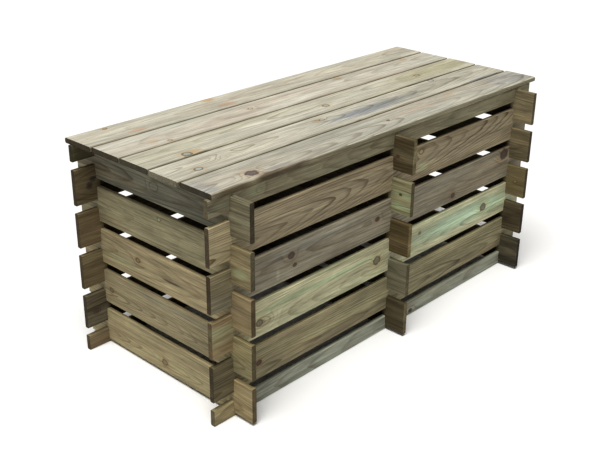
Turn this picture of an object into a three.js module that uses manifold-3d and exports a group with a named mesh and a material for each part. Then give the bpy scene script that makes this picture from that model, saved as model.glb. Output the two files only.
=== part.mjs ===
// Two-compartment slatted timber bin station with a loose plank lid.
// Interlocking boards: five cross boards per cross wall, six long boards per long wall.
// Millimetres. +Z is up, -Y is the front, +X is the right-hand end seen from the front.
// The origin is on the ground, at the middle of the overall footprint.
import * as THREE from "three";
import { mergeVertices } from "three/addons/utils/BufferGeometryUtils.js";
import Module from "manifold-3d";

const wasm = await Module();
wasm.setup();

// Stock boards of the walls.
const BOARD_HEIGHT = 125;
const BOARD_THICKNESS = 18;
const HALF_BOARD_HEIGHT = 56.5;

// All timber has eased long edges, the lid's planks wider ones.
const EASED_EDGE = 4;
const PLANK_EASED_EDGE = 6;
const EDGE_SEGMENTS = 3;

// Walls: the box is measured over the outer faces of its walls.
const BOX_LENGTH = 1518;
const BOX_DEPTH = 664;
const TAIL = 82;
const BOARD_PITCH = 153;
const CROSS_BOARDS = 5;
const FULL_LONG_BOARDS = 4;
const CROSS_BASE = 9.5;

// Play in the notches: beside the crossing board, and between one board and the board it sits on.
const NOTCH_SIDE_PLAY = 0.5;
const CONTACT_GAP = 0.3;

// Lid: lengthwise planks on cross battens, all cut by hand to nearly one length.
const PLANK_WIDTH = 134.5;
const PLANK_THICKNESS = 18;
const PLANK_PITCH = 139.5;
const LID_CENTRE_X = 20;
const LID_CENTRE_Y = 9;
const PLANK_CUTS = [
  { length: 1700, shift: 0 },
  { length: 1700, shift: -5 },
  { length: 1700, shift: -1 },
  { length: 1700, shift: -2 },
  { length: 1708, shift: -2 },
];
const BATTEN_LENGTH = 608;
const BATTEN_WIDTH = 60;
const BATTEN_THICKNESS = 18;
const BATTEN_PITCH = 440;
const BATTENS = 4;

// Countersunk wood screws, driven up through the battens.
const SCREW_LENGTH = 30;
const SCREW_RADIUS = 2;
const SCREW_HEAD_RADIUS = 4.2;
const SCREW_HEAD_HEIGHT = 2.6;
const SCREW_TIP_LENGTH = 4;
const SOCKET_RADIUS = 1.4;
const SOCKET_DEPTH = 1.6;
const SCREW_PLAY = 0.3;
const PILOT_DEPTH = 13;
const ROUND_SIDES = 12;

// Heights that follow from the boards.
const HALF_PITCH = BOARD_PITCH / 2;
const LONG_BASE = CROSS_BASE + HALF_PITCH;
const TOP_HALF_BOARD = FULL_LONG_BOARDS + 1;
const WALL_TOP = LONG_BASE + FULL_LONG_BOARDS * BOARD_PITCH + HALF_BOARD_HEIGHT;
const LID_BOTTOM = WALL_TOP + CONTACT_GAP;

// Lengths and wall positions that follow from the box.
const LONG_BOARD_LENGTH = BOX_LENGTH + 2 * TAIL;
const CROSS_BOARD_LENGTH = BOX_DEPTH + 2 * TAIL;
const END_WALL_X = (BOX_LENGTH - BOARD_THICKNESS) / 2;
const LONG_WALL_Y = (BOX_DEPTH - BOARD_THICKNESS) / 2;
const CROSS_WALLS = { left: -END_WALL_X, middle: 0, right: END_WALL_X };
const LONG_WALLS = { front: -LONG_WALL_Y, back: LONG_WALL_Y };

// The lid reaches past the right-hand tails, so the footprint's middle is right of the middle wall.
const LID_RIGHT_END = LID_CENTRE_X + Math.max(...PLANK_CUTS.map((cut) => cut.length / 2 + cut.shift));
const FOOTPRINT_MIDDLE_X = (LID_RIGHT_END - LONG_BOARD_LENGTH / 2) / 2;

const UNIT_X = new THREE.Vector3(1, 0, 0);
const UNIT_Y = new THREE.Vector3(0, 1, 0);
const UNIT_Z = new THREE.Vector3(0, 0, 1);

// A three.js geometry as a manifold-3d solid.
function solidOf(geometry) {
  const bare = geometry.clone();
  bare.deleteAttribute("normal");
  bare.deleteAttribute("uv");
  const merged = mergeVertices(bare, 1e-4);
  return new wasm.Manifold(
    new wasm.Mesh({
      numProp: 3,
      vertProperties: merged.attributes.position.array,
      triVerts: new Uint32Array(merged.index.array),
    }),
  );
}

// A manifold-3d solid as a flat-shaded three.js geometry.
function geometryOf(solid) {
  const mesh = solid.getMesh();
  const shared = new THREE.BufferGeometry();
  shared.setAttribute("position", new THREE.BufferAttribute(mesh.vertProperties, 3));
  shared.setIndex(new THREE.BufferAttribute(mesh.triVerts, 1));
  const geometry = shared.toNonIndexed();
  geometry.computeVertexNormals();
  return geometry;
}

// Nominal bottom and top height of the cross board at level i, counted from the ground.
function crossLevel(i) {
  const bottom = CROSS_BASE + i * BOARD_PITCH;
  return { bottom, top: bottom + BOARD_HEIGHT };
}

// Nominal bottom and top height of the long board at level k. The lowest and the highest are half boards.
function longLevel(k) {
  if (k === 0) {
    return { bottom: 0, top: HALF_BOARD_HEIGHT };
  }
  const bottom = LONG_BASE + (k - 1) * BOARD_PITCH;
  const height = k === TOP_HALF_BOARD ? HALF_BOARD_HEIGHT : BOARD_HEIGHT;
  return { bottom, top: bottom + height };
}

// Two crossing boards share their overlap equally: this is the height at which they meet.
function seatHeight(lower, upper) {
  return (lower.top + upper.bottom) / 2;
}

// A rectangle around the origin with eased corners.
function easedRectangle(width, height, radius) {
  const x = width / 2 - radius;
  const y = height / 2 - radius;
  const outline = new THREE.Shape();
  outline.absarc(x, y, radius, 0, Math.PI / 2);
  outline.absarc(-x, y, radius, Math.PI / 2, Math.PI);
  outline.absarc(-x, -y, radius, Math.PI, 1.5 * Math.PI);
  outline.absarc(x, -y, radius, 1.5 * Math.PI, 2 * Math.PI);
  outline.closePath();
  return outline;
}

// Eased timber, centred on the origin: length along X, then its size along Y and along Z.
function timberBlank(length, sizeY, sizeZ, easedEdge = EASED_EDGE) {
  const profile = easedRectangle(sizeY, sizeZ, easedEdge);
  const blank = new THREE.ExtrudeGeometry(profile, {
    depth: length,
    bevelEnabled: false,
    curveSegments: EDGE_SEGMENTS,
  });
  blank.translate(0, 0, -length / 2);
  blank.applyMatrix4(new THREE.Matrix4().makeBasis(UNIT_Y, UNIT_Z, UNIT_X));
  return blank;
}

// The piece that a notch cuts away: as wide as the crossing board and its play, between two heights.
function notchSolid(x, bottom, top) {
  const width = BOARD_THICKNESS + 2 * NOTCH_SIDE_PLAY;
  const cut = new THREE.BoxGeometry(width, 2 * BOARD_THICKNESS, top - bottom);
  cut.translate(x, 0, (bottom + top) / 2);
  return solidOf(cut);
}

// A board on edge, its length along X, notched from below up to lowerSeat and from above down to
// upperSeat, the heights at which it meets its neighbours. A seat of null leaves that edge whole.
function notchedBoard(length, level, notchCentres, lowerSeat, upperSeat) {
  const blank = timberBlank(length, BOARD_THICKNESS, level.top - level.bottom);
  blank.translate(0, 0, (level.bottom + level.top) / 2);
  let board = solidOf(blank);
  for (const x of notchCentres) {
    if (lowerSeat !== null) {
      board = board.subtract(notchSolid(x, level.bottom - 1, lowerSeat + CONTACT_GAP / 2));
    }
    if (upperSeat !== null) {
      board = board.subtract(notchSolid(x, upperSeat - CONTACT_GAP / 2, level.top + 1));
    }
  }
  return geometryOf(board);
}

function longBoardGeometry(k) {
  const level = longLevel(k);
  const lowerSeat = k === 0 ? null : seatHeight(crossLevel(k - 1), level);
  const upperSeat = k === TOP_HALF_BOARD ? null : seatHeight(level, crossLevel(k));
  return notchedBoard(LONG_BOARD_LENGTH, level, Object.values(CROSS_WALLS), lowerSeat, upperSeat);
}

function crossBoardGeometry(i) {
  const level = crossLevel(i);
  const lowerSeat = seatHeight(longLevel(i), level);
  const upperSeat = seatHeight(level, longLevel(i + 1));
  return notchedBoard(CROSS_BOARD_LENGTH, level, Object.values(LONG_WALLS), lowerSeat, upperSeat);
}

function namedMesh(name, geometry, color, roughness, metalness) {
  const material = new THREE.MeshStandardMaterial({ color, roughness, metalness });
  const mesh = new THREE.Mesh(geometry, material);
  mesh.name = name;
  return mesh;
}

// Pressure-treated softwood: the boards differ a little in tone.
const WALL_TONES = [0x7c765a, 0x7a6a4c, 0x969470, 0x8a7c5e, 0x776a4e, 0x6e6a52];

function longBoardName(wall, k) {
  if (k === 0) {
    return `${wall}_rail_bottom`;
  }
  return k === TOP_HALF_BOARD ? `${wall}_rail_top` : `${wall}_board_${k}`;
}

function longWall(wall, y) {
  const group = new THREE.Group();
  for (let k = 0; k <= TOP_HALF_BOARD; k += 1) {
    const tone = WALL_TONES[k];
    const board = namedMesh(longBoardName(wall, k), longBoardGeometry(k), tone, 0.85, 0);
    board.position.y = y;
    group.add(board);
  }
  return group;
}

function crossWall(wall, x) {
  const group = new THREE.Group();
  for (let i = 0; i < CROSS_BOARDS; i += 1) {
    const tone = WALL_TONES[(i + 2) % WALL_TONES.length];
    const board = namedMesh(`${wall}_wall_board_${i + 1}`, crossBoardGeometry(i), tone, 0.85, 0);
    board.rotation.z = Math.PI / 2;
    board.position.x = x;
    group.add(board);
  }
  return group;
}

// A cylinder or cone standing on the height z0, around the line (x, y).
function uprightRound(x, y, z0, bottomRadius, topRadius, height, sides = ROUND_SIDES) {
  const round = new THREE.CylinderGeometry(topRadius, bottomRadius, height, sides);
  round.rotateX(Math.PI / 2);
  round.translate(x, y, z0 + height / 2);
  return solidOf(round);
}

function plankY(p) {
  return (p - (PLANK_CUTS.length - 1) / 2) * PLANK_PITCH;
}

function battenX(b) {
  return (b - (BATTENS - 1) / 2) * BATTEN_PITCH;
}

// One plank, lying on the plane z = 0, with a blind pilot hole over each batten.
function plankGeometry(cut) {
  const blank = timberBlank(cut.length, PLANK_WIDTH, PLANK_THICKNESS, PLANK_EASED_EDGE);
  blank.translate(0, 0, PLANK_THICKNESS / 2);
  let plank = solidOf(blank);
  const radius = SCREW_RADIUS + SCREW_PLAY;
  for (let b = 0; b < BATTENS; b += 1) {
    const x = battenX(b) - cut.shift;
    plank = plank.subtract(uprightRound(x, 0, -1, radius, radius, PILOT_DEPTH + 1));
  }
  return geometryOf(plank);
}

// One batten, hanging below the plane z = 0, with a countersunk hole under each plank.
function battenGeometry() {
  const blank = timberBlank(BATTEN_LENGTH, BATTEN_WIDTH, BATTEN_THICKNESS);
  blank.rotateZ(Math.PI / 2);
  blank.translate(0, 0, -BATTEN_THICKNESS / 2);
  let batten = solidOf(blank);
  const holeRadius = SCREW_RADIUS + SCREW_PLAY;
  const sinkRadius = SCREW_HEAD_RADIUS + SCREW_PLAY;
  for (let p = 0; p < PLANK_CUTS.length; p += 1) {
    const y = plankY(p) + LID_CENTRE_Y;
    const hole = uprightRound(0, y, -BATTEN_THICKNESS - 1, holeRadius, holeRadius, BATTEN_THICKNESS + 2);
    const sink = uprightRound(0, y, -BATTEN_THICKNESS, sinkRadius, holeRadius, SCREW_HEAD_HEIGHT);
    batten = batten.subtract(hole).subtract(sink);
  }
  return geometryOf(batten);
}

// One screw, its flat head on the plane z = 0 and its tip upwards.
function screwGeometry() {
  const shankLength = SCREW_LENGTH - SCREW_HEAD_HEIGHT - SCREW_TIP_LENGTH;
  const tipBottom = SCREW_HEAD_HEIGHT + shankLength;
  const head = uprightRound(0, 0, 0, SCREW_HEAD_RADIUS, SCREW_RADIUS, SCREW_HEAD_HEIGHT);
  const shank = uprightRound(0, 0, SCREW_HEAD_HEIGHT, SCREW_RADIUS, SCREW_RADIUS, shankLength);
  const tip = uprightRound(0, 0, tipBottom, SCREW_RADIUS, 0, SCREW_TIP_LENGTH);
  const socket = uprightRound(0, 0, -1, SOCKET_RADIUS, SOCKET_RADIUS, SOCKET_DEPTH + 1, 6);
  return geometryOf(head.add(shank).add(tip).subtract(socket));
}

const LID_TONE = 0xc3bba4;
const BATTEN_TONE = 0x8c8264;
const STEEL_TONE = 0x9a9a98;

// The lid: planks numbered from front to back, battens from left to right.
function lid() {
  const group = new THREE.Group();
  PLANK_CUTS.forEach((cut, p) => {
    const plank = namedMesh(`lid_plank_${p + 1}`, plankGeometry(cut), LID_TONE, 0.8, 0);
    plank.position.set(cut.shift, plankY(p), 0);
    group.add(plank);
  });
  for (let b = 0; b < BATTENS; b += 1) {
    const batten = namedMesh(`lid_batten_${b + 1}`, battenGeometry(), BATTEN_TONE, 0.85, 0);
    batten.position.set(battenX(b), -LID_CENTRE_Y, -CONTACT_GAP);
    group.add(batten);
    for (let p = 0; p < PLANK_CUTS.length; p += 1) {
      const screw = namedMesh(`lid_screw_${b + 1}_${p + 1}`, screwGeometry(), STEEL_TONE, 0.4, 0.9);
      screw.position.set(battenX(b), plankY(p), -CONTACT_GAP - BATTEN_THICKNESS);
      group.add(screw);
    }
  }
  group.position.set(LID_CENTRE_X, LID_CENTRE_Y, LID_BOTTOM);
  return group;
}

const station = new THREE.Group();
for (const [wall, y] of Object.entries(LONG_WALLS)) {
  station.add(longWall(wall, y));
}
for (const [wall, x] of Object.entries(CROSS_WALLS)) {
  station.add(crossWall(wall, x));
}
station.add(lid());
station.position.x = -FOOTPRINT_MIDDLE_X;

export default station;
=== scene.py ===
# Slatted timber bin station: looks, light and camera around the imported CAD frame. Metres.
import math
import random

import bpy
from mathutils import Matrix, Vector


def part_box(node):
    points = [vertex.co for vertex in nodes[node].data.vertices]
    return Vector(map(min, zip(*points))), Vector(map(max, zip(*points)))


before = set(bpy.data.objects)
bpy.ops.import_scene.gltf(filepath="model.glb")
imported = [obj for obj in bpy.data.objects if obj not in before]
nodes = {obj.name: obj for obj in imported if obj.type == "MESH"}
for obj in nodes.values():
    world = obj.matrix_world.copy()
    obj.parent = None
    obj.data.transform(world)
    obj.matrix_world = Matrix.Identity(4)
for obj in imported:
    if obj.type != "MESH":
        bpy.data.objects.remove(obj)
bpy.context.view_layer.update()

# Camera: where it stands, where it looks and how it is held. Degrees and millimetres.
CAMERA_POSITION = Vector((-2.4680, -2.1913, 1.7874))
CAMERA_AZIMUTH = -46.891
CAMERA_ELEVATION = 24.700
CAMERA_ROLL = 0.558
CAMERA_LENS = 57.8
CAMERA_SENSOR = 36
CAMERA_CLIP = (0.05, 200)

# Light: one wide, soft sun, KEY_TILT degrees off the vertical, and a pale room.
KEY_STRENGTH = 2.9
KEY_COLOUR = (1.0, 0.99, 0.97)
KEY_ANGLE = 34
KEY_TILT = 20
KEY_TURN = -62
ROOM_STRENGTH = 0.17
ROOM_COLOUR = (0.98, 0.99, 1.0, 1)

# Floor: a wide disc, a hair below the bottom rails.
FLOOR_DEPTH = 0.0004
FLOOR_RADIUS = 90
FLOOR_SIDES = 96
FLOOR_COLOURS = ((0.86, 0.86, 0.86), (0.90, 0.90, 0.90))
FLOOR_ROUGHNESS = 0.9
FLOOR_SPECULAR = 0.1

# Colours of the wood, as linear red, green and blue.
TAN = (0.33, 0.27, 0.155)
OLIVE = (0.27, 0.24, 0.145)
BROWN = (0.23, 0.18, 0.11)
UMBER = (0.10, 0.075, 0.042)
GREY = (0.25, 0.235, 0.175)
ASH = (0.30, 0.29, 0.24)
YELLOW = (0.38, 0.35, 0.20)
MINT = (0.34, 0.43, 0.26)
PALE_MINT = (0.455, 0.58, 0.41)
CREAM = (0.60, 0.56, 0.44)
BONE = (0.62, 0.58, 0.47)
ROSE = (0.52, 0.40, 0.29)
PEACH = (0.54, 0.36, 0.25)
AMBER = (0.48, 0.32, 0.15)
SLATE = (0.27, 0.29, 0.31)
PALE = (0.60, 0.64, 0.52)
RUST = (0.11, 0.06, 0.045)
BLACK_KNOT = (0.055, 0.045, 0.04)
PLUM = (0.17, 0.13, 0.13)
WANE = (0.06, 0.055, 0.04)
INK = (0.018, 0.018, 0.022)

# Tints: what the wood's own colour is multiplied by, on end grain and on the lid's narrow sides. On the
# lid's narrow sides the tint is partly painted shade and partly their own olive colour.
WALL_END = (0.38, 0.35, 0.31)
PALE_END = (1.55, 1.60, 1.55)
LID_END = (0.12, 0.11, 0.085)
BACK_LID_END = (0.10, 0.082, 0.055)
LID_SIDE_SHADE_AND_TONE = (0.54, 0.52, 0.42)

# More tints: the strongest latewood, arrises lightened partly by wear and partly as a painted highlight,
# and the wood around a knot.
LATEWOOD = (0.38, 0.32, 0.26)
ARRIS_WEAR_AND_HIGHLIGHT = (1.25, 1.22, 1.18)
RIM_TINT = (0.95, 0.70, 0.48)

# Painted shade inside the box: the timber there is tinted darker. The walls' inner faces and the lid's
# underside bound it, and the painted shade fades out between these two distances beyond them.
INSIDE_SHADE = (0.42, 0.40, 0.37)
INSIDE_SHADE_EDGE = (0.001, 0.006)

# The tails of the wall boards: their middle, from the end, and how far their colour reaches. A tail's
# colour is partly the board's own and partly painted shade.
TAIL_MIDDLE = 0.041
TAIL_REACH = (0.12, 0.25)

# The lid's joints are brown: which edges of each plank face one, and how far the brown reaches.
PLANK_JOINTS = {
    "lid_plank_1": (1,),
    "lid_plank_2": (-1, 1),
    "lid_plank_3": (-1, 1),
    "lid_plank_4": (-1, 1),
    "lid_plank_5": (-1,),
}
JOINT_REACH = (3.0, 0.0075)
JOINT_STRENGTH = 0.45

# How fine each pattern is per metre: along the board, across its face and through it.
KNOT_EDGE_FINENESS = (75, 110, 0)
PATCH_EDGE_FINENESS = (14, 130, 0)
RIPPLE_FINENESS = (5, 28, 28)
FIBRE_FINENESS = (30, 800, 800)
STREAK_FINENESS = (5, 190, 190)
BAND_FINENESS = (2.5, 50, 50)
STAIN_FINENESS = (1.8, 16, 16)
BLOTCH_FINENESS = (6, 20, 20)
SPANGLE_FINENESS = (600, 600, 600)
CLOUD_FINENESS = (1.5, 1.5, 1.5)

# A step is: where it starts, where it ends, the value before it, the value after it.
FACING_STEP = (0.55, 0.85, 0.0, 1.0)
PATCH_STEP = (0.35, 1.1, 1.0, 0.0)
LATEWOOD_STEP = (0.40, 0.92, 0.0, 1.0)
RING_END_STEP = (0.94, 1.0, 1.0, 0.0)
STAIN_STEP = (0.42, 0.66, 0.0, 1.0)
ARRIS_STEP = (-0.0045, -0.0015, 0.0, 1.0)

# Knots, in units of their own radius: a heart, a dark bark line, and a warmer rim outside.
KNOT_LENGTH = 0.8
KNOT_RAGGED = 0.7
HEART_STEP = (0.70, 1.05, 0.9, 0.0)
HEART_RINGS = 17.0
HEART_TONE = (0.25, 0.85)
BARK_PLACE = 0.90
BARK_STEP = (0.04, 0.28, 0.7, 0.0)
RIM_STEP = (1.0, 2.6, 0.38, 0.0)
HOLLOW_STEP = (0.85, 1.1, -0.8, 0.0)
NO_KNOT_NEAR = 10.0

# A knot pushes the rings outward: how much faster the push fades than one radius, and its height.
SWELL_FADE = (0.42, 0.70)
SWELL_HEIGHT = 0.9

# Rings: how quickly and how far the pith wobbles, how far they ripple, and their strengths.
PITH_SWAY = 1.6
PITH_WOBBLE = 0.020
RIPPLE_HEIGHT = 0.006
LATEWOOD_POWER = 2.0
YEAR_STRENGTH = (0.75, 0.35)

# Light and dark over the wood's colour. Pairs are a pattern's factor and the value added to it.
PATCH_RAGGED = 1.1
FIBRE_LIGHT = (0.80, 0.60)
STREAK_LIGHT = 1.30
BAND_LIGHT = 0.50
BLOTCH_LIGHT = 0.50

# The surface: how rough it is, and how high its relief stands.
LATEWOOD_ROUGHNESS = (-0.12, 0.80)
STREAK_ROUGHNESS = 0.2
LATEWOOD_RELIEF = 0.35
RELIEF_STRENGTH = 0.5
RELIEF_HEIGHT = 0.0006
TIMBER_SPECULAR = 0.25
STEEL_COLOURS = ((0.42, 0.42, 0.40), (0.62, 0.61, 0.56))
STEEL_ROUGHNESS = (0.3, 0.25)

# Each node's patterns start from a seed of their own.
SEED_STEP = 0.137
SEED_START = 0.1

SMOOTH_ANGLE = math.radians(40)
MERGE_DISTANCE = 1e-6


class Graph:
    """A node tree, with one short method for each kind of node that the materials use."""

    def __init__(self, tree):
        self.tree = tree

    def feed(self, socket, value):
        if isinstance(value, bpy.types.NodeSocket):
            self.tree.links.new(value, socket)
        elif socket.type == "RGBA" and len(value) == 3:
            socket.default_value = (*value, 1)
        else:
            socket.default_value = value

    def add(self, kind, values=(), **settings):
        node = self.tree.nodes.new(kind)
        for key, setting in settings.items():
            setattr(node, key, setting)
        pairs = values.items() if isinstance(values, dict) else enumerate(values)
        for key, value in pairs:
            self.feed(node.inputs[key], value)
        return node

    def math(self, operation, *values):
        return self.add("ShaderNodeMath", values, operation=operation).outputs[0]

    def vector(self, operation, *values):
        return self.add("ShaderNodeVectorMath", values, operation=operation).outputs[0]

    def length(self, value):
        return self.add("ShaderNodeVectorMath", [value], operation="LENGTH").outputs["Value"]

    def split(self, value):
        return self.add("ShaderNodeSeparateXYZ", [value]).outputs

    def join(self, *values):
        return self.add("ShaderNodeCombineXYZ", values).outputs[0]

    def noise(self, place, detail=2.0, rough=0.5):
        values = {"Vector": place, "Scale": 1.0, "Detail": detail, "Roughness": rough}
        return self.add("ShaderNodeTexNoise", values).outputs

    def pattern(self, place, fineness, detail=2.0, rough=0.5):
        """Noise from about 0 to 1, with its own fineness in each direction."""
        return self.noise(self.vector("MULTIPLY", place, fineness), detail, rough)[0]

    def dice(self, value):
        node = self.add("ShaderNodeTexWhiteNoise", noise_dimensions="1D")
        self.feed(node.inputs["W"], value)
        return node.outputs["Value"]

    def swing(self, value, amount):
        """Turns 0 to 1 into a swing of half the amount to either side of zero."""
        return self.math("MULTIPLY_ADD", value, amount, -amount / 2)

    def rise(self, value, low, high, start=0.0, end=1.0):
        """A smooth step from start to end, as value goes from low to high."""
        node = self.add("ShaderNodeMapRange", interpolation_type="SMOOTHSTEP")
        for key, number in enumerate((value, low, high, start, end)):
            self.feed(node.inputs[key], number)
        return node.outputs[0]

    def blend(self, factor, first, second, mode="MIX"):
        node = self.add("ShaderNodeMix", data_type="RGBA", blend_type=mode)
        self.feed(node.inputs[0], factor)
        self.feed(node.inputs[6], first)
        self.feed(node.inputs[7], second)
        return node.outputs[2]

    def tint(self, colour, factors):
        return self.blend(1.0, colour, factors, "MULTIPLY")


SOCKETS = {"value": "NodeSocketFloat", "place": "NodeSocketVector", "colour": "NodeSocketColor"}


def shader_group(name, inputs, outputs, build):
    """A node group: build gets its graph and its inputs, and returns its outputs in order."""
    tree = bpy.data.node_groups.new(name, "ShaderNodeTree")
    for key, kind in inputs.items():
        tree.interface.new_socket(key, in_out="INPUT", socket_type=SOCKETS[kind])
    for key, kind in outputs.items():
        tree.interface.new_socket(key, in_out="OUTPUT", socket_type=SOCKETS[kind])
    graph = Graph(tree)
    given = graph.add("NodeGroupInput").outputs
    graph.add("NodeGroupOutput", build(graph, given))
    return tree


def build_knot(graph, given):
    """A branch through the board: how near its nearest knot is, and how far it pushes the rings."""
    place = given["Board"]
    radius = given["Radius"]
    u, v, _ = graph.split(graph.vector("SUBTRACT", place, given["Centre"]))
    flat = graph.join(graph.math("MULTIPLY", u, KNOT_LENGTH), v, 0.0)
    ragged = graph.swing(graph.pattern(place, KNOT_EDGE_FINENESS, 3.0), KNOT_RAGGED)
    near = graph.math("ADD", graph.math("DIVIDE", graph.length(flat), radius), ragged)
    nearest = graph.math("MINIMUM", near, given["Nearness"])
    wide = graph.math("DIVIDE", graph.math("MULTIPLY", u, SWELL_FADE[0]), radius)
    tall = graph.math("DIVIDE", graph.math("MULTIPLY", v, SWELL_FADE[1]), radius)
    spread = graph.math("MULTIPLY_ADD", wide, wide, graph.math("MULTIPLY", tall, tall))
    swell = graph.math("EXPONENT", graph.math("MULTIPLY", spread, -1.0))
    swell = graph.math("MULTIPLY", swell, graph.math("MULTIPLY", radius, SWELL_HEIGHT))
    return nearest, graph.math("ADD", given["Push"], swell)


KNOT = shader_group(
    "Knot",
    {"Board": "place", "Centre": "place", "Radius": "value", "Nearness": "value", "Push": "value"},
    {"Nearness": "value", "Push": "value"},
    build_knot,
)


def build_patch(graph, given):
    """A soft-edged mark, longer along the grain, broken up by streaks."""
    spot = graph.vector("SUBTRACT", given["Board"], given["Centre"])
    spot = graph.vector("DIVIDE", spot, given["Size"])
    streaks = graph.pattern(given["Board"], PATCH_EDGE_FINENESS, 3.0, 0.6)
    reach = graph.math("ADD", graph.length(spot), graph.swing(streaks, PATCH_RAGGED))
    mask = graph.math("MULTIPLY", graph.rise(reach, *PATCH_STEP), given["Strength"])
    return [graph.blend(mask, given["Colour"], given["Mark"])]


PATCH = shader_group(
    "Patch",
    {
        "Board": "place",
        "Centre": "place",
        "Size": "place",
        "Strength": "value",
        "Colour": "colour",
        "Mark": "colour",
    },
    {"Colour": "colour"},
    build_patch,
)


def latewood(graph, given, shifted):
    """How much latewood there is. Each ring darkens slowly, ends sharply and has its own strength."""
    u, v, n = graph.split(given["Board"])
    seed = given["Seed"]

    # The pith runs along the board, drifts to one side and wobbles.
    sway = graph.join(graph.math("MULTIPLY", u, PITH_SWAY), seed, 0.0)
    wobble = graph.split(graph.noise(sway, 1.0)[1])
    drift = graph.split(given["Drift"])
    pith = graph.split(given["Pith"])
    offsets = []
    for place, axis in ((v, 0), (n, 1)):
        middle = graph.math("MULTIPLY_ADD", u, drift[axis], pith[axis])
        middle = graph.math("ADD", middle, graph.swing(wobble[axis], PITH_WOBBLE))
        offsets.append(graph.math("SUBTRACT", place, middle))
    radius = graph.length(graph.join(*offsets, 0.0))

    ripple = graph.pattern(shifted, RIPPLE_FINENESS)
    push = graph.math("MULTIPLY_ADD", ripple, RIPPLE_HEIGHT, given["Push"])
    ring = graph.math("DIVIDE", graph.math("ADD", radius, push), given["Ring width"])
    phase = graph.math("FRACT", ring)
    late = graph.math("POWER", graph.rise(phase, *LATEWOOD_STEP), LATEWOOD_POWER)
    late = graph.math("MULTIPLY", late, graph.rise(phase, *RING_END_STEP))
    year = graph.dice(graph.math("ADD", graph.math("FLOOR", ring), seed))
    return graph.math("MULTIPLY", late, graph.math("MULTIPLY_ADD", year, *YEAR_STRENGTH))


def wood_colour(graph, given, shifted, late, fibre, streak):
    """Wood, latewood, treatment stain and streaks."""
    dark = graph.tint(given["Tone"], LATEWOOD)
    colour = graph.blend(graph.math("MULTIPLY", late, given["Grain"]), given["Tone"], dark)
    stain = graph.rise(graph.pattern(shifted, STAIN_FINENESS), *STAIN_STEP)
    colour = graph.blend(graph.math("MULTIPLY", stain, given["Stain amount"]), colour, given["Stain"])
    band = graph.pattern(shifted, BAND_FINENESS)
    blotch = graph.pattern(shifted, BLOTCH_FINENESS, 3.0)
    light = graph.math("MULTIPLY_ADD", fibre, *FIBRE_LIGHT)
    for pattern, strength in ((streak, STREAK_LIGHT), (band, BAND_LIGHT), (blotch, BLOTCH_LIGHT)):
        change = graph.math("MULTIPLY", graph.math("SUBTRACT", pattern, 0.5), given["Streaks"])
        light = graph.math("MULTIPLY", light, graph.math("MULTIPLY_ADD", change, strength, 1.0))
    return graph.tint(colour, graph.join(light, light, light))


def knotty_colour(graph, given, colour):
    """Adds the knots: a heart with rings of its own, a dark bark line and a warmer rim."""
    near = given["Nearness"]
    colour = graph.blend(graph.rise(near, *RIM_STEP), colour, graph.tint(colour, RIM_TINT))
    rings = graph.math("SINE", graph.math("MULTIPLY", near, HEART_RINGS))
    tone = graph.math("MULTIPLY_ADD", rings, *HEART_TONE)
    heart = graph.tint(given["Knot colour"], graph.join(tone, tone, tone))
    colour = graph.blend(graph.rise(near, *HEART_STEP), colour, heart)
    bark = graph.math("ABSOLUTE", graph.math("SUBTRACT", near, BARK_PLACE))
    return graph.blend(graph.rise(bark, *BARK_STEP), colour, BLACK_KNOT)


def wear_and_highlight_colour(graph, given, colour, streak):
    """Arrises are a little lighter: partly wear, partly a painted highlight."""
    place = graph.split(given["Board"])
    half = graph.split(given["Half size"])
    edges = [
        graph.math("SUBTRACT", graph.math("ABSOLUTE", place[axis]), half[axis]) for axis in (1, 2)
    ]
    arris = graph.math("MINIMUM", *edges)
    wear_and_highlight = graph.math("MULTIPLY", graph.rise(arris, *ARRIS_STEP), streak)
    return graph.blend(wear_and_highlight, colour, graph.tint(colour, ARRIS_WEAR_AND_HIGHLIGHT))


def build_timber(graph, given):
    """Growth rings around a drifting pith, fibres, streaks and knots, in the board's own space."""
    seed = given["Seed"]
    shifted = graph.vector("ADD", given["Board"], graph.join(seed, seed, seed))
    late = latewood(graph, given, shifted)
    fibre = graph.pattern(shifted, FIBRE_FINENESS, 3.0, 0.6)
    streak = graph.pattern(shifted, STREAK_FINENESS, 4.0, 0.7)
    colour = wood_colour(graph, given, shifted, late, fibre, streak)
    colour = knotty_colour(graph, given, colour)
    colour = wear_and_highlight_colour(graph, given, colour, streak)
    rough = graph.math("MULTIPLY_ADD", late, *LATEWOOD_ROUGHNESS)
    rough = graph.math("ADD", rough, graph.swing(streak, STREAK_ROUGHNESS))
    relief = graph.math("MULTIPLY_ADD", late, LATEWOOD_RELIEF, fibre)
    relief = graph.math("ADD", relief, graph.rise(given["Nearness"], *HOLLOW_STEP))
    return colour, rough, relief


TIMBER = shader_group(
    "Timber",
    {
        "Board": "place",
        "Half size": "place",
        "Seed": "value",
        "Pith": "place",
        "Drift": "place",
        "Ring width": "value",
        "Nearness": "value",
        "Push": "value",
        "Tone": "colour",
        "Stain": "colour",
        "Stain amount": "value",
        "Grain": "value",
        "Streaks": "value",
        "Knot colour": "colour",
    },
    {"Colour": "colour", "Roughness": "value", "Height": "value"},
    build_timber,
)


def spec(
    tone,
    stain=OLIVE,
    stained=0.3,
    pith=(0.0, -0.07),
    drift=(0.01, 0.03),
    ring=0.0056,
    grain=0.65,
    streaks=1.5,
    tail=None,
    end=WALL_END,
    knots=(),
    knot_colour=RUST,
    swirls=(),
    patches=(),
):
    """How one board looks. u runs along the board and v across its face, from the board's middle.
    Knots are (u, v, radius), and swirls are rings around a knot that doesn't show. Patches are
    (u, v, half length, half width, colour, strength). A tail is the colour of the board's left or
    front tail, where it differs from the rest, and end is the tint of its end grain."""
    return {
        "tone": tone,
        "stain": stain,
        "stained": stained,
        "pith": pith,
        "drift": drift,
        "ring": ring,
        "grain": grain,
        "streaks": streaks,
        "tail": tail,
        "end": end,
        "knots": knots,
        "knot_colour": knot_colour,
        "swirls": swirls,
        "patches": patches,
    }


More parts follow.
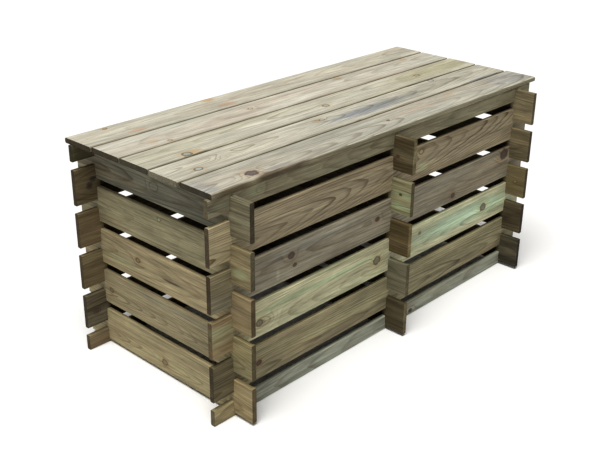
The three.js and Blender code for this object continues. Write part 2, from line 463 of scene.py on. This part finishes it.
BOARD_LOOKS = {
    "front_rail_bottom": spec(
        (0.29, 0.30, 0.24), OLIVE, 0.3, pith=(0.0, -0.15), grain=0.5, tail=(0.33, 0.28, 0.16),
        end=(0.39, 0.39, 0.39), knots=[(0.142, -0.012, 0.009)], knot_colour=BLACK_KNOT,
    ),
    "front_board_1": spec(
        (0.29, 0.265, 0.162), BROWN, 0.5, pith=(-0.03, -0.075), drift=(0.01, -0.03), grain=0.8,
        tail=(0.14, 0.12, 0.07), knots=[(-0.650, -0.002, 0.010)],
        patches=[
            (-0.50, 0.000, 0.060, 0.010, UMBER, 0.50),
            (-0.31, 0.004, 0.030, 0.012, BROWN, 0.60),
            (-0.40, 0.000, 0.300, 0.040, YELLOW, 0.35),
            (0.35, -0.032, 0.400, 0.016, UMBER, 0.35),
            (-0.25, -0.028, 0.300, 0.006, UMBER, 0.45),
            (0.30, 0.025, 0.350, 0.025, OLIVE, 0.45),
            (0.45, 0.000, 0.350, 0.060, UMBER, 0.22),
        ],
    ),
    "front_board_2": spec(
        (0.46, 0.44, 0.29), MINT, 0.4, pith=(-0.028, -0.075), drift=(0.004, 0.045), grain=0.55,
        tail=(0.28, 0.215, 0.12), end=(0.42, 0.37, 0.34), knot_colour=(0.22, 0.19, 0.13),
        swirls=[(-0.610, -0.020, 0.020)],
        knots=[
            (-0.646, -0.013, 0.012),
            (-0.074, 0.001, 0.016),
            (0.171, 0.025, 0.006),
            (0.584, 0.002, 0.016),
        ],
        patches=[
            (-0.28, 0.020, 0.330, 0.011, MINT, 0.75),
            (0.45, 0.005, 0.420, 0.050, PALE_MINT, 0.90),
            (-0.62, -0.010, 0.050, 0.030, BROWN, 0.45),
        ],
    ),
    "front_board_3": spec(
        (0.26, 0.23, 0.168), GREY, 0.5, pith=(0.012, -0.085), drift=(0.005, 0.02), grain=0.7,
        tail=(0.21, 0.18, 0.11), end=(0.27, 0.21, 0.155), knot_colour=(0.095, 0.070, 0.055),
        knots=[
            (-0.504, 0.017, 0.012),
            (-0.488, -0.021, 0.007),
            (-0.081, 0.007, 0.009),
            (0.702, 0.039, 0.021),
            (0.366, -0.038, 0.010),
        ],
        patches=[
            (-0.564, -0.030, 0.010, 0.024, CREAM, 0.30),
            (-0.40, 0.035, 0.300, 0.016, ASH, 0.75),
            (0.36, -0.034, 0.035, 0.020, RUST, 0.35),
            (0.15, 0.040, 0.180, 0.012, GREY, 0.60),
            (0.50, -0.010, 0.350, 0.060, BROWN, 0.45),
        ],
    ),
    "front_board_4": spec(
        (0.305, 0.26, 0.172), BROWN, 0.3, pith=(0.019, -0.097), drift=(0.07, -0.06), grain=1.0,
        tail=(0.41, 0.35, 0.22), end=(0.22, 0.195, 0.18),
        knots=[(0.149, 0.038, 0.010)], knot_colour=YELLOW,
        patches=[
            (0.0, 0.050, 0.900, 0.012, BROWN, 0.55),
            (0.16, -0.022, 0.040, 0.020, MINT, 0.45),
            (0.45, -0.045, 0.400, 0.012, BROWN, 0.45),
        ],
    ),
    "front_rail_top": spec(
        (0.225, 0.21, 0.135), BROWN, 0.4, pith=(0.01, -0.12), drift=(0.0, 0.04), grain=0.6,
        tail=(0.205, 0.195, 0.135), end=(0.52, 0.48, 0.42), swirls=[(-0.640, 0.005, 0.008)],
        patches=[(-0.655, 0.004, 0.040, 0.024, MINT, 0.25)],
    ),
    # The back wall's tails are darker than their boards: painted shade, partly their own colour.
    "back_rail_bottom": spec(BROWN, OLIVE, 0.3, tail=(0.20, 0.15, 0.09)),
    "back_board_1": spec(OLIVE, GREY, 0.4, tail=(0.12, 0.10, 0.065), knots=[(-0.800, -0.010, 0.006)]),
    "back_board_2": spec(BROWN, OLIVE, 0.4, tail=(0.16, 0.12, 0.065), knots=[(0.300, 0.010, 0.012)]),
    "back_board_3": spec(OLIVE, BROWN, 0.4, tail=(0.16, 0.12, 0.065), knots=[(-0.250, -0.020, 0.010)]),
    "back_board_4": spec(
        TAN, BROWN, 0.4, drift=(0.0, 0.07), tail=(0.135, 0.105, 0.058),
        knots=[(0.450, 0.015, 0.013)], knot_colour=BLACK_KNOT,
        patches=[
            (-0.772, 0.016, 0.016, 0.014, INK, 0.95),
            (-0.788, -0.004, 0.016, 0.018, INK, 0.90),
            (-0.800, -0.040, 0.040, 0.010, UMBER, 0.60),
            (-0.800, 0.050, 0.050, 0.012, UMBER, 0.50),
        ],
    ),
    # This rail's very dark tail is painted shade under the lid.
    "back_rail_top": spec(OLIVE, BROWN, 0.3, pith=(0.01, -0.09), tail=(0.085, 0.078, 0.042)),
    "left_wall_board_1": spec(
        (0.33, 0.28, 0.165), YELLOW, 0.3, pith=(-0.024, -0.050), drift=(0.01, 0.065), ring=0.0046,
        grain=0.6, tail=(0.31, 0.25, 0.14),
        knots=[(0.005, -0.024, 0.011)], knot_colour=(0.24, 0.20, 0.12),
    ),
    "left_wall_board_2": spec(
        (0.28, 0.24, 0.145), OLIVE, 0.4, pith=(-0.020, -0.050), drift=(0.01, 0.065), ring=0.0046,
        grain=0.7, tail=(0.252, 0.218, 0.116), patches=[(-0.05, 0.042, 0.300, 0.014, GREY, 0.60)],
        knots=[(0.277, -0.005, 0.009)], knot_colour=(0.20, 0.17, 0.11),
    ),
    "left_wall_board_3": spec(
        (0.32, 0.27, 0.16), BROWN, 0.3, pith=(0.0, -0.12), drift=(0.03, 0.03), grain=0.5,
        tail=(0.245, 0.195, 0.11), knots=[(0.117, 0.011, 0.009)], knot_colour=BROWN,
        patches=[
            (-0.060, -0.010, 0.060, 0.0050, BLACK_KNOT, 0.9),
            (0.20, -0.02, 0.12, 0.02, MINT, 0.2),
        ],
    ),
    "left_wall_board_4": spec(
        (0.26, 0.235, 0.145), BROWN, 0.4, pith=(0.0, -0.15), grain=0.45,
        tail=(0.24, 0.20, 0.112), end=(0.41, 0.42, 0.44),
        knots=[(-0.005, 0.041, 0.006)], knot_colour=MINT,
        patches=[(-0.37, -0.02, 0.04, 0.02, MINT, 0.35)],
    ),
    # This board's dark tone is partly painted shade under the lid's overhang, partly its own grey colour.
    "left_wall_board_5": spec(
        (0.17, 0.165, 0.12), BROWN, 0.4, pith=(-0.01, -0.08), drift=(0.0, 0.02), grain=0.8,
        tail=(0.192, 0.18, 0.116), end=(0.31, 0.26, 0.23), swirls=[(0.014, -0.007, 0.012)],
    ),
    # The middle and right walls' dark tails are partly their own colour and partly painted shade.
    "middle_wall_board_1": spec(BROWN, OLIVE, 0.3, tail=(0.075, 0.058, 0.030), end=PALE_END),
    "middle_wall_board_2": spec(
        GREY, OLIVE, 0.3, pith=(0.03, -0.06), grain=1.0, ring=0.013, tail=(0.16, 0.15, 0.10),
        end=(0.65, 0.57, 0.49),
    ),
    "middle_wall_board_3": spec(OLIVE, BROWN, 0.4, tail=(0.103, 0.077, 0.034), end=PALE_END),
    "middle_wall_board_4": spec(
        OLIVE, BROWN, 0.4, pith=(0.0, -0.12), tail=(0.285, 0.285, 0.165), end=(0.32, 0.28, 0.24),
        knots=[(-0.370, 0.010, 0.005)], knot_colour=BLACK_KNOT,
        patches=[(-0.38, 0.012, 0.050, 0.014, MINT, 0.7), (-0.37, -0.030, 0.060, 0.012, MINT, 0.8)],
    ),
    "middle_wall_board_5": spec(
        BROWN, OLIVE, 0.4, tail=(0.088, 0.066, 0.033), end=PALE_END, knots=[(-0.350, -0.010, 0.006)],
    ),
    "right_wall_board_1": spec(
        TAN, OLIVE, 0.3, drift=(0.0, 0.08), tail=(0.050, 0.043, 0.028), knots=[(0.100, 0.020, 0.012)],
    ),
    "right_wall_board_2": spec(
        OLIVE, BROWN, 0.3, tail=(0.080, 0.063, 0.035), knots=[(-0.180, -0.015, 0.009)],
    ),
    "right_wall_board_3": spec(
        TAN, BROWN, 0.4, tail=(0.165, 0.135, 0.065), knots=[(-0.372, 0.000, 0.004), (0.220, 0.005, 0.010)],
        knot_colour=AMBER,
    ),
    "right_wall_board_4": spec(YELLOW, TAN, 0.5, drift=(0.0, 0.06), tail=(0.126, 0.106, 0.061)),
    "right_wall_board_5": spec(
        OLIVE, TAN, 0.4, tail=(0.225, 0.19, 0.115), knots=[(0.050, -0.020, 0.011)],
    ),
    "lid_plank_1": spec(
        (0.445, 0.43, 0.36), ROSE, 0.2, pith=(-0.02, -0.07), drift=(0.0, -0.04), grain=0.55, streaks=1.1,
        end=LID_END, knots=[(-0.657, -0.027, 0.018), (0.012, 0.000, 0.006)], knot_colour=PLUM,
        patches=[
            (0.20, 0.010, 0.200, 0.020, ROSE, 0.45),
            (0.40, 0.030, 0.040, 0.025, AMBER, 0.35),
            (0.632, 0.019, 0.060, 0.012, BROWN, 0.40),
            (0.752, 0.016, 0.030, 0.006, BROWN, 0.55),
            (-0.62, -0.067, 0.065, 0.020, WANE, 0.95),
            (-0.54, -0.067, 0.110, 0.010, WANE, 0.80),
            (-0.628, -0.058, 0.014, 0.006, BLACK_KNOT, 0.90),
            (-0.595, -0.059, 0.060, 0.006, BLACK_KNOT, 0.90),
            (-0.500, -0.064, 0.080, 0.004, BLACK_KNOT, 0.70),
            # This umber band is painted shade under a rounded arris.
            (-0.77, -0.067, 0.080, 0.009, UMBER, 0.75),
            (-0.56, -0.040, 0.070, 0.012, SLATE, 0.55),
            (-0.83, -0.020, 0.040, 0.060, SLATE, 0.55),
            (0.76, 0.000, 0.180, 0.060, SLATE, 0.45),
        ],
    ),
    "lid_plank_2": spec(
        (0.55, 0.53, 0.44), GREY, 0.2, pith=(0.01, -0.06), drift=(0.0, -0.05), grain=0.6, streaks=1.1,
        end=(0.34, 0.32, 0.27), swirls=[(-0.60, 0.000, 0.016)], knot_colour=(0.46, 0.50, 0.46),
        knots=[(-0.738, -0.031, 0.012), (-0.138, 0.024, 0.009), (0.522, 0.054, 0.011)],
        patches=[
            (-0.55, 0.000, 0.300, 0.060, BONE, 0.75),
            (0.10, -0.010, 0.300, 0.036, SLATE, 0.90),
            (0.30, 0.000, 0.400, 0.060, GREY, 0.38),
            (0.70, 0.000, 0.200, 0.060, GREY, 0.25),
            (0.05, -0.035, 0.180, 0.014, SLATE, 0.40),
            (0.70, -0.062, 0.150, 0.008, SLATE, 0.80),
            (-0.155, 0.030, 0.030, 0.015, AMBER, 0.55),
        ],
    ),
    "lid_plank_3": spec(
        (0.54, 0.52, 0.43), YELLOW, 0.25, pith=(0.02, -0.055), drift=(0.0, 0.03), grain=0.55, streaks=1.1,
        end=LID_END, knot_colour=(0.40, 0.43, 0.35),
        knots=[(-0.683, -0.049, 0.015), (-0.012, -0.017, 0.012), (0.539, -0.002, 0.011)],
        patches=[
            (0.66, 0.000, 0.420, 0.070, YELLOW, 0.55),
            (-0.645, -0.045, 0.035, 0.018, AMBER, 0.60),
            (-0.690, -0.055, 0.008, 0.008, BLACK_KNOT, 0.70),
            (-0.64, -0.066, 0.040, 0.006, UMBER, 0.80),
        ],
    ),
    "lid_plank_4": spec(
        (0.55, 0.53, 0.45), ROSE, 0.3, pith=(0.0, -0.10), grain=0.4, streaks=1.1,
        end=BACK_LID_END, knot_colour=(0.56, 0.53, 0.43),
        knots=[(-0.635, -0.052, 0.007), (-0.225, 0.006, 0.008)],
        patches=[
            (-0.68, -0.020, 0.030, 0.015, AMBER, 0.50),
            (0.279, 0.045, 0.030, 0.022, AMBER, 0.60),
            (0.692, 0.045, 0.030, 0.020, AMBER, 0.55),
            (0.65, 0.000, 0.350, 0.060, GREY, 0.18),
            (-0.50, 0.050, 0.200, 0.010, PALE, 0.45),
        ],
    ),
    "lid_plank_5": spec(
        (0.52, 0.50, 0.41), ROSE, 0.25, pith=(0.0, -0.11), grain=0.4, streaks=1.1,
        end=BACK_LID_END, knots=[(-0.715, 0.045, 0.007)], knot_colour=AMBER,
        patches=[
            (-0.640, -0.040, 0.050, 0.018, PEACH, 0.70),
            (-0.262, 0.050, 0.035, 0.022, AMBER, 0.80),
            (-0.245, -0.035, 0.050, 0.022, PEACH, 0.75),
            (0.096, 0.007, 0.012, 0.008, AMBER, 0.60),
            (0.65, 0.000, 0.350, 0.060, GREY, 0.18),
        ],
    ),
}

dice = random.Random(11)


def chance_look(u_half, v_half):
    """A board out of the same stack, for nodes without a look of their own: the lid's battens."""
    pairs = [(TAN, OLIVE), (OLIVE, BROWN), (BROWN, GREY), (YELLOW, MINT), (GREY, TAN)]
    tone, stain = dice.choice(pairs)
    knots = []
    for _ in range(dice.randint(1, 3)):
        place = (dice.uniform(-0.85, 0.85) * u_half, dice.uniform(-0.6, 0.6) * v_half)
        knots.append((*place, dice.uniform(0.006, 0.016)))
    pith = (dice.uniform(-0.03, 0.03), dice.choice([-1, 1]) * dice.uniform(0.045, 0.12))
    drift = (dice.uniform(-0.01, 0.01), dice.uniform(-0.06, 0.06))
    return spec(
        tone, stain, dice.uniform(0.2, 0.6), pith=pith, drift=drift, grain=dice.uniform(0.4, 0.8),
        knots=knots, knot_colour=dice.choice([RUST, BLACK_KNOT, BROWN]),
    )


def sorted_axes(size):
    """The part's axes in the order of the board's own: along, across the face, through it."""
    return sorted(range(3), key=lambda axis: -size[axis])


def board_space(graph, node_name):
    """The place on the board as (u, v, n) from its middle, its half size, and masks for its ends
    and its narrow sides."""
    low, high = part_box(node_name)
    size = high - low
    axes = sorted_axes(size)
    coordinates = graph.add("ShaderNodeTexCoord").outputs
    middle = tuple((low + high) / 2)
    parts = graph.split(graph.vector("SUBTRACT", coordinates["Object"], middle))
    facing = graph.split(coordinates["Normal"])
    board = graph.join(*(parts[axis] for axis in axes))
    end, side = (
        graph.rise(graph.math("ABSOLUTE", facing[axis]), *FACING_STEP) for axis in axes[:2]
    )
    return board, tuple(size[axis] / 2 for axis in axes), end, side


def inside_shade_mask(graph):
    """The mask of the painted shade: one inside the box, up to the faces that look into it, and zero
    outside it.
    """
    sides = (
        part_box("left_wall_board_3")[1][0],
        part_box("right_wall_board_3")[0][0],
        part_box("front_board_2")[1][1],
        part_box("back_board_2")[0][1],
    )
    place = graph.split(graph.add("ShaderNodeTexCoord").outputs["Object"])
    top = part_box("lid_plank_3")[0][2]
    mask = graph.rise(place[2], top + INSIDE_SHADE_EDGE[0], top + INSIDE_SHADE_EDGE[1], 1.0, 0.0)
    for axis, (low, high) in enumerate((sides[:2], sides[2:])):
        off = graph.math("ABSOLUTE", graph.math("SUBTRACT", place[axis], (low + high) / 2))
        reach = (high - low) / 2
        edge = graph.rise(off, reach + INSIDE_SHADE_EDGE[0], reach + INSIDE_SHADE_EDGE[1], 1.0, 0.0)
        mask = graph.math("MULTIPLY", mask, edge)
    return mask


def new_material(name):
    """A material, the graph of its nodes and its shader."""
    material = bpy.data.materials.new(name)
    material.use_nodes = True
    return material, Graph(material.node_tree), material.node_tree.nodes["Principled BSDF"]


def add_knots(graph, board, look):
    """How near the nearest knot is, and how far the knots and swirls push the rings."""
    nearness = NO_KNOT_NEAR
    push = 0.0
    for u, v, radius in look["knots"]:
        values = {
            "Board": board,
            "Centre": (u, v, 0),
            "Radius": radius,
            "Nearness": nearness,
            "Push": push,
        }
        knot = graph.add("ShaderNodeGroup", values, node_tree=KNOT)
        nearness = knot.outputs["Nearness"]
        push = knot.outputs["Push"]
    for u, v, radius in look["swirls"]:
        values = {"Board": board, "Centre": (u, v, 0), "Radius": radius, "Push": push}
        push = graph.add("ShaderNodeGroup", values, node_tree=KNOT).outputs["Push"]
    return nearness, push


def add_patches(graph, board, half_size, look, node_name):
    """The board's tone with its tail's colour, its marks and the brown of the lid's joints."""
    tone = look["tone"]
    patches = list(look["patches"])
    for edge in PLANK_JOINTS.get(node_name, ()):
        patches.append((0, edge * half_size[1], *JOINT_REACH, UMBER, JOINT_STRENGTH))
    # A tail's colour is partly the board's own colour and partly painted shade.
    if look["tail"]:
        patches.insert(0, (TAIL_MIDDLE - half_size[0], 0, *TAIL_REACH, look["tail"], 1.0))
    for u, v, half_length, half_width, mark, strength in patches:
        values = {
            "Board": board,
            "Centre": (u, v, 0),
            "Size": (half_length, half_width, 1),
            "Strength": strength,
            "Colour": tone,
            "Mark": mark,
        }
        tone = graph.add("ShaderNodeGroup", values, node_tree=PATCH).outputs["Colour"]
    return tone


def timber_material(node_name, look, seed):
    """The board's own timber, with its end grain, its narrow sides, which on the lid's planks are partly
    painted shade, and painted shade inside the box.
    """
    material, graph, shader = new_material(f"timber_{node_name}")
    board, half_size, end, side = board_space(graph, node_name)
    nearness, push = add_knots(graph, board, look)
    values = {
        "Board": board,
        "Half size": half_size,
        "Seed": seed,
        "Pith": (*look["pith"], 0),
        "Drift": (*look["drift"], 0),
        "Ring width": look["ring"],
        "Nearness": nearness,
        "Push": push,
        "Tone": add_patches(graph, board, half_size, look, node_name),
        "Stain": look["stain"],
        "Stain amount": look["stained"],
        "Grain": look["grain"],
        "Streaks": look["streaks"],
        "Knot colour": look["knot_colour"],
    }
    timber = graph.add("ShaderNodeGroup", values, node_tree=TIMBER)
    colour = timber.outputs["Colour"]
    if node_name.startswith("lid_plank"):
        # The lid planks' narrow sides are darker and more olive: partly painted shade in the joints,
        # partly their own colour.
        colour = graph.blend(side, colour, graph.tint(colour, LID_SIDE_SHADE_AND_TONE))
    colour = graph.blend(end, colour, graph.tint(colour, look["end"]))
    # Painted shade: everything inside the box is tinted darker.
    colour = graph.blend(inside_shade_mask(graph), colour, graph.tint(colour, INSIDE_SHADE))
    values = {
        "Strength": RELIEF_STRENGTH,
        "Distance": RELIEF_HEIGHT,
        "Height": timber.outputs["Height"],
    }
    bump = graph.add("ShaderNodeBump", values)
    graph.feed(shader.inputs["Base Color"], colour)
    graph.feed(shader.inputs["Roughness"], timber.outputs["Roughness"])
    graph.feed(shader.inputs["Normal"], bump.outputs["Normal"])
    shader.inputs["Specular IOR Level"].default_value = TIMBER_SPECULAR
    return material


def steel_material():
    """Zinc-plated steel with a faint spangle."""
    material, graph, shader = new_material("zinc_steel")
    place = graph.add("ShaderNodeTexCoord").outputs["Object"]
    spangle = graph.pattern(place, SPANGLE_FINENESS, 3.0)
    roughness = graph.math("MULTIPLY_ADD", spangle, *STEEL_ROUGHNESS)
    graph.feed(shader.inputs["Base Color"], graph.blend(spangle, *STEEL_COLOURS))
    graph.feed(shader.inputs["Roughness"], roughness)
    shader.inputs["Metallic"].default_value = 1.0
    return material


def soft_edges_group():
    """Joins the faces of a CAD solid and shades its eased edges as one smooth round."""
    tree = bpy.data.node_groups.new("Soft edges", "GeometryNodeTree")
    tree.interface.new_socket("Geometry", in_out="INPUT", socket_type="NodeSocketGeometry")
    tree.interface.new_socket("Geometry", in_out="OUTPUT", socket_type="NodeSocketGeometry")
    graph = Graph(tree)
    mesh = graph.add("NodeGroupInput").outputs[0]
    values = {"Geometry": mesh, "Name": "custom_normal"}
    bare = graph.add("GeometryNodeRemoveAttribute", values).outputs[0]
    values = {"Geometry": bare, "Distance": MERGE_DISTANCE}
    merged = graph.add("GeometryNodeMergeByDistance", values).outputs[0]
    values = {"Geometry": merged, "Shade Smooth": True}
    smooth = graph.add("GeometryNodeSetShadeSmooth", values).outputs[0]
    angle = graph.add("GeometryNodeInputMeshEdgeAngle").outputs["Unsigned Angle"]
    sharp = graph.math("GREATER_THAN", angle, SMOOTH_ANGLE)
    values = {"Geometry": smooth, "Selection": sharp, "Shade Smooth": False}
    creased = graph.add("GeometryNodeSetShadeSmooth", values, domain="EDGE").outputs[0]
    graph.add("NodeGroupOutput", [creased])
    return tree


SOFT_EDGES = soft_edges_group()


def finish_node(node_name, material):
    """Gives a CAD node its material and its smooth edges. Its mesh stays as it is."""
    node = nodes[node_name]
    for slot in node.material_slots:
        slot.material = material
    rounding = node.modifiers.new("soft_edges", "NODES")
    rounding.node_group = SOFT_EDGES
    weighting = node.modifiers.new("flat_faces", "WEIGHTED_NORMAL")
    weighting.keep_sharp = True


def dress_nodes():
    """Steel for the screws, and a timber of its own for every board, plank and batten."""
    steel = steel_material()
    for number, node_name in enumerate(sorted(nodes)):
        if "screw" in node_name:
            finish_node(node_name, steel)
            continue
        low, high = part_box(node_name)
        size = high - low
        along, across, _ = sorted_axes(size)
        look = BOARD_LOOKS.get(node_name) or chance_look(size[along] / 2, size[across] / 2)
        seed = SEED_STEP * number + SEED_START
        finish_node(node_name, timber_material(node_name, look, seed))


def add_floor():
    """A plain pale disc, a hair below the bottom rails."""
    points = [(0, 0, -FLOOR_DEPTH)]
    for step in range(FLOOR_SIDES):
        turn = math.tau * step / FLOOR_SIDES
        x = FLOOR_RADIUS * math.cos(turn)
        y = FLOOR_RADIUS * math.sin(turn)
        points.append((x, y, -FLOOR_DEPTH))
    faces = [(0, 1 + step, 1 + (step + 1) % FLOOR_SIDES) for step in range(FLOOR_SIDES)]
    mesh = bpy.data.meshes.new("floor")
    mesh.from_pydata(points, [], faces)
    floor = bpy.data.objects.new("floor", mesh)
    bpy.context.scene.collection.objects.link(floor)
    material, graph, shader = new_material("pale_floor")
    place = graph.add("ShaderNodeTexCoord").outputs["Object"]
    cloud = graph.pattern(place, CLOUD_FINENESS, 3.0)
    graph.feed(shader.inputs["Base Color"], graph.blend(cloud, *FLOOR_COLOURS))
    shader.inputs["Roughness"].default_value = FLOOR_ROUGHNESS
    shader.inputs["Specular IOR Level"].default_value = FLOOR_SPECULAR
    mesh.materials.append(material)


def add_light():
    """The pale room and the sun."""
    scene = bpy.context.scene
    world = bpy.data.worlds.new("room")
    world.use_nodes = True
    background = world.node_tree.nodes["Background"]
    background.inputs["Color"].default_value = ROOM_COLOUR
    background.inputs["Strength"].default_value = ROOM_STRENGTH
    scene.world = world
    data = bpy.data.lights.new("key", "SUN")
    data.energy = KEY_STRENGTH
    data.angle = math.radians(KEY_ANGLE)
    data.color = KEY_COLOUR
    key = bpy.data.objects.new("key", data)
    key.rotation_euler = (math.radians(KEY_TILT), 0, math.radians(KEY_TURN))
    scene.collection.objects.link(key)


def add_camera():
    """A camera that looks back along its azimuth and elevation, turned a little by its roll."""
    azimuth = math.radians(CAMERA_AZIMUTH)
    elevation = math.radians(CAMERA_ELEVATION)
    back = Vector((
        math.sin(azimuth) * math.cos(elevation),
        -math.cos(azimuth) * math.cos(elevation),
        math.sin(elevation),
    ))
    right = Vector((0, 0, 1)).cross(back).normalized()
    right = Matrix.Rotation(math.radians(CAMERA_ROLL), 3, back) @ right
    up = back.cross(right)
    data = bpy.data.cameras.new("camera")
    data.lens = CAMERA_LENS
    data.sensor_width = CAMERA_SENSOR
    data.clip_start, data.clip_end = CAMERA_CLIP
    camera = bpy.data.objects.new("camera", data)
    turn = Matrix((right, up, back)).transposed().to_4x4()
    camera.matrix_world = Matrix.Translation(CAMERA_POSITION) @ turn
    bpy.context.scene.collection.objects.link(camera)
    bpy.context.scene.camera = camera


add_camera()
add_light()
add_floor()
dress_nodes()
bpy.context.scene.view_settings.view_transform = "Standard"
bpy.context.scene.view_settings.look = "Medium High Contrast"
